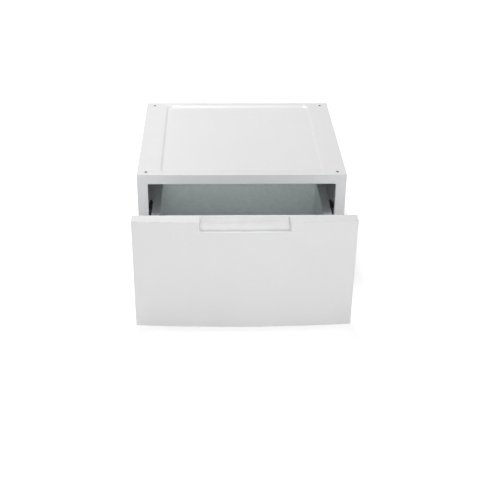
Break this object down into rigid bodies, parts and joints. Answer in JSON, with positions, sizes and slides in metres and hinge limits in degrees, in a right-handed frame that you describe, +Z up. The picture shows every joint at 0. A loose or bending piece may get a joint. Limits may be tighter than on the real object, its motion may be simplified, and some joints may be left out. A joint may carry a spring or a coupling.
{
  "type": "laundry pedestal drawer",
  "caption": "Low steel pedestal for a laundry machine with one pull-out storage drawer on ball-bearing slides; bowed front with a scooped finger grip in its top edge.",
  "frame": {"origin": "on the floor under the middle of the pedestal as it stands with its drawer pulled out 266 mm", "axes": "+X to the right seen from the front, +Y from the drawer front towards the rear panel, +Z up"},
  "size_m": [0.686, 0.942, 0.394],
  "materials": {
    "white_enamel": "gloss white baked enamel",
    "frame_enamel": "satin pale grey-white enamel",
    "zinc_sheet": "galvanised sheet steel, satin",
    "slide_steel": "bright zinc-plated rolled steel",
    "steel": "zinc-plated steel",
    "ball_steel": "polished",
    "white_moulding": "moulded plastic, semi-gloss white",
    "black_moulding": "moulded nylon, matt black",
    "black_rubber": "matt"
  },
  "bodies": {
    "cabinet": {"top_panel": "white_enamel", "top_brace_left": "zinc_sheet", "top_brace_right": "zinc_sheet", "side_panel_left": "white_enamel", "side_panel_right": "white_enamel", "rear_panel": "white_enamel", "rear_screws": "steel", "front_frame": "frame_enamel", "base_rail_front": "zinc_sheet", "base_rail_rear": "zinc_sheet", "foot_bracket_front_left": "zinc_sheet", "foot_bracket_front_right": "zinc_sheet", "foot_bracket_rear_left": "zinc_sheet", "foot_bracket_rear_right": "zinc_sheet", "foot_locknuts": "steel", "slide_bracket_left": "zinc_sheet", "slide_bracket_right": "zinc_sheet", "bracket_rivets": "steel", "side_glide_left": "black_moulding", "side_glide_right": "black_moulding", "slide_outer_left": "slide_steel", "slide_outer_right": "slide_steel", "slide_bumpers": "black_rubber"},
    "drawer": {"slide_inner_left": "slide_steel", "slide_inner_right": "slide_steel", "rail_screws": "steel", "drawer_rail_left": "zinc_sheet", "drawer_rail_right": "zinc_sheet", "drawer_side_left": "zinc_sheet", "drawer_side_right": "zinc_sheet", "drawer_back": "zinc_sheet", "drawer_bottom": "zinc_sheet", "drawer_front_liner": "zinc_sheet", "drawer_front_skin": "white_enamel", "handle_pocket": "white_moulding", "front_screws": "steel", "front_bumpers": "black_rubber"},
    "middle_member_left": {"slide_middle_left": "slide_steel"},
    "outer_cage_left": {"ball_cage_outer_left": "steel", "balls_outer_left": "ball_steel"},
    "inner_cage_left": {"ball_cage_inner_left": "steel", "balls_inner_left": "ball_steel"},
    "lever_left": {"release_lever_left": "black_moulding"},
    "middle_member_right": {"slide_middle_right": "slide_steel"},
    "outer_cage_right": {"ball_cage_outer_right": "steel", "balls_outer_right": "ball_steel"},
    "inner_cage_right": {"ball_cage_inner_right": "steel", "balls_inner_right": "ball_steel"},
    "lever_right": {"release_lever_right": "black_moulding"},
    "foot_front_left": {"foot_stem_front_left": "steel", "foot_pad_front_left": "black_rubber"},
    "foot_front_right": {"foot_stem_front_right": "steel", "foot_pad_front_right": "black_rubber"},
    "foot_rear_left": {"foot_stem_rear_left": "steel", "foot_pad_rear_left": "black_rubber"},
    "foot_rear_right": {"foot_stem_rear_right": "steel", "foot_pad_rear_right": "black_rubber"}
  },
  "joints": [
    {"name": "drawer_slide", "type": "slide", "parent": "cabinet", "child": "drawer", "axis": [0, -1, 0], "range_m": [-0.263, 0.167]},
    {"name": "middle_member_left_slide", "type": "slide", "parent": "cabinet", "child": "middle_member_left", "axis": [0, -1, 0], "range_m": [-0.1315, 0.0835]},
    {"name": "outer_cage_left_slide", "type": "slide", "parent": "cabinet", "child": "outer_cage_left", "axis": [0, -1, 0], "range_m": [-0.06575, 0.04175]},
    {"name": "inner_cage_left_slide", "type": "slide", "parent": "cabinet", "child": "inner_cage_left", "axis": [0, -1, 0], "range_m": [-0.19725, 0.12525]},
    {"name": "lever_left_pivot", "type": "hinge", "parent": "drawer", "child": "lever_left", "pos_m": [-0.2897, -0.146, 0.224], "axis": [1, 0, 0], "range_deg": [0, 4], "stiffness_Nm_per_rad": 0.3},
    {"name": "middle_member_right_slide", "type": "slide", "parent": "cabinet", "child": "middle_member_right", "axis": [0, -1, 0], "range_m": [-0.1315, 0.0835]},
    {"name": "outer_cage_right_slide", "type": "slide", "parent": "cabinet", "child": "outer_cage_right", "axis": [0, -1, 0], "range_m": [-0.06575, 0.04175]},
    {"name": "inner_cage_right_slide", "type": "slide", "parent": "cabinet", "child": "inner_cage_right", "axis": [0, -1, 0], "range_m": [-0.19725, 0.12525]},
    {"name": "lever_right_pivot", "type": "hinge", "parent": "drawer", "child": "lever_right", "pos_m": [0.2897, -0.146, 0.224], "axis": [1, 0, 0], "range_deg": [0, 4], "stiffness_Nm_per_rad": 0.3},
    {"name": "foot_front_left_turn", "type": "hinge", "parent": "cabinet", "child": "foot_front_left", "pos_m": [-0.299, -0.096, 0], "axis": [0, 0, 1], "continuous": true},
    {"name": "foot_front_right_turn", "type": "hinge", "parent": "cabinet", "child": "foot_front_right", "pos_m": [0.299, -0.096, 0], "axis": [0, 0, 1], "continuous": true},
    {"name": "foot_rear_left_turn", "type": "hinge", "parent": "cabinet", "child": "foot_rear_left", "pos_m": [-0.299, 0.4075, 0], "axis": [0, 0, 1], "continuous": true},
    {"name": "foot_rear_right_turn", "type": "hinge", "parent": "cabinet", "child": "foot_rear_right", "pos_m": [0.299, 0.4075, 0], "axis": [0, 0, 1], "continuous": true}
  ],
  "couplings": [
    {"joint": "middle_member_left_slide", "follows": "drawer_slide", "ratio": 0.5},
    {"joint": "outer_cage_left_slide", "follows": "drawer_slide", "ratio": 0.25},
    {"joint": "inner_cage_left_slide", "follows": "drawer_slide", "ratio": 0.75},
    {"joint": "middle_member_right_slide", "follows": "drawer_slide", "ratio": 0.5},
    {"joint": "outer_cage_right_slide", "follows": "drawer_slide", "ratio": 0.25},
    {"joint": "inner_cage_right_slide", "follows": "drawer_slide", "ratio": 0.75}
  ]
}
